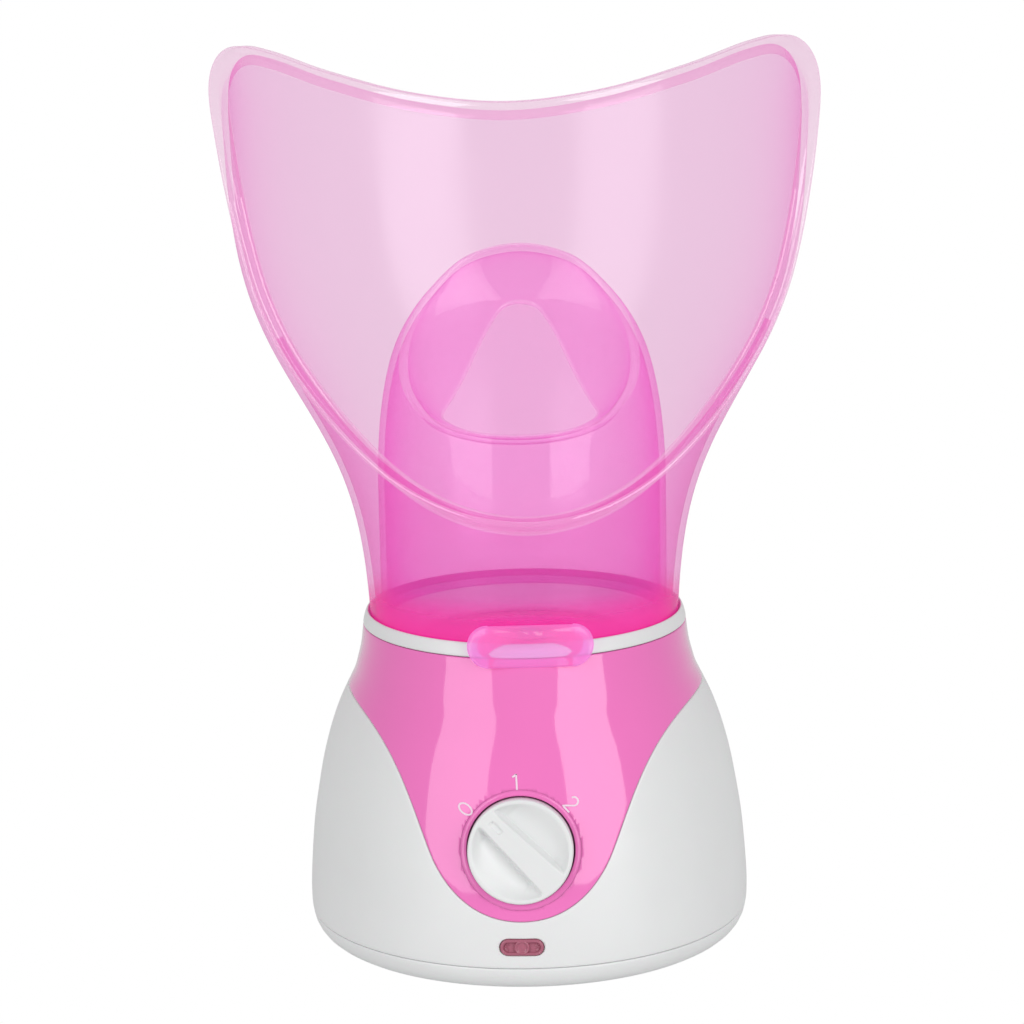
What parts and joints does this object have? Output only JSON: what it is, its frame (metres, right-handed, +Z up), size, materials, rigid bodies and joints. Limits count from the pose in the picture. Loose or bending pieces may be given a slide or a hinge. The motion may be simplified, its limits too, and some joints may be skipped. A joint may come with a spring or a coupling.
{
  "type": "facial steamer",
  "caption": "Facial steamer: a heated base with a water bowl and a mode knob, a lift-off nose mask and a lift-off scooped face hood.",
  "frame": {"origin": "on the floor at the centre of the base's foot ring", "axes": "+Z up, -Y to the front where the knob is, +X to the right seen from the front"},
  "size_m": [0.1929, 0.1592, 0.2899],
  "materials": {
    "hood_plastic": "clear tinted, glossy",
    "mask_plastic": "clear tinted, glossy",
    "pink_plastic": "opaque, glossy",
    "white_plastic": "opaque, satin to glossy",
    "black_rubber": "matt",
    "seal_silicone": "matt",
    "lens_plastic": "translucent, glossy",
    "switch_plastic": "matt",
    "cream_plastic": "matt",
    "lamp_glass": "clear",
    "bowl_aluminium": "spun, satin",
    "plate_aluminium": "cast",
    "element_ceramic": "matt",
    "mica": "satin",
    "brass": "satin",
    "steel": "zinc plated",
    "wire_brown": "satin",
    "wire_blue": "satin",
    "wire_white": "braided",
    "wire_red": "satin"
  },
  "bodies": {
    "base": {"collar": "white_plastic", "upper_housing": "pink_plastic", "lower_housing": "white_plastic", "bottom_pan": "white_plastic", "foot_ring": "black_rubber", "base_screw_1": "steel", "base_screw_2": "steel", "base_screw_3": "steel", "base_screw_4": "steel", "rotary_switch": "switch_plastic", "switch_nut": "steel", "switch_terminal_1": "brass", "switch_terminal_2": "brass", "switch_terminal_3": "brass", "switch_terminal_4": "brass", "lamp_lens": "lens_plastic", "lamp_holder": "cream_plastic", "neon_lamp": "lamp_glass", "cord_gland": "white_plastic", "cord_clamp": "white_plastic", "clamp_screw_1": "steel", "clamp_screw_2": "steel", "terminal_block": "cream_plastic", "block_screw_1": "brass", "block_screw_2": "brass", "water_bowl": "bowl_aluminium", "bowl_seal": "seal_silicone", "bowl_retainer": "steel", "retainer_screw_1": "steel", "retainer_screw_2": "steel", "retainer_screw_3": "steel", "heater_plate": "plate_aluminium", "heating_element": "element_ceramic", "mica_sheet": "mica", "heater_clamp": "steel", "clamp_nut": "brass", "thermostat": "element_ceramic", "thermal_fuse": "lamp_glass", "collar_screw_1": "steel", "collar_screw_2": "steel", "collar_screw_3": "steel", "wire_feed": "wire_brown", "wire_return": "wire_blue", "wire_heater": "wire_white", "wire_fuse": "wire_white", "wire_lamp_1": "wire_red", "wire_lamp_2": "wire_red"},
    "knob": {"mode_knob": "white_plastic", "switch_shaft": "steel"},
    "hood": {"face_hood": "hood_plastic"},
    "mask": {"nose_mask": "mask_plastic"}
  },
  "joints": [
    {"name": "knob_turn", "type": "hinge", "parent": "base", "child": "knob", "pos_m": [0, -0.06892, 0.0474], "axis": [0, 0.9877, -0.1564], "range_deg": [0, 90]},
    {"name": "hood_lift", "type": "slide", "parent": "base", "child": "hood", "axis": [0, 0, 1], "range_m": [0, 0.15]},
    {"name": "mask_lift", "type": "slide", "parent": "base", "child": "mask", "axis": [0, 0, 1], "range_m": [0, 0.2]}
  ]
}
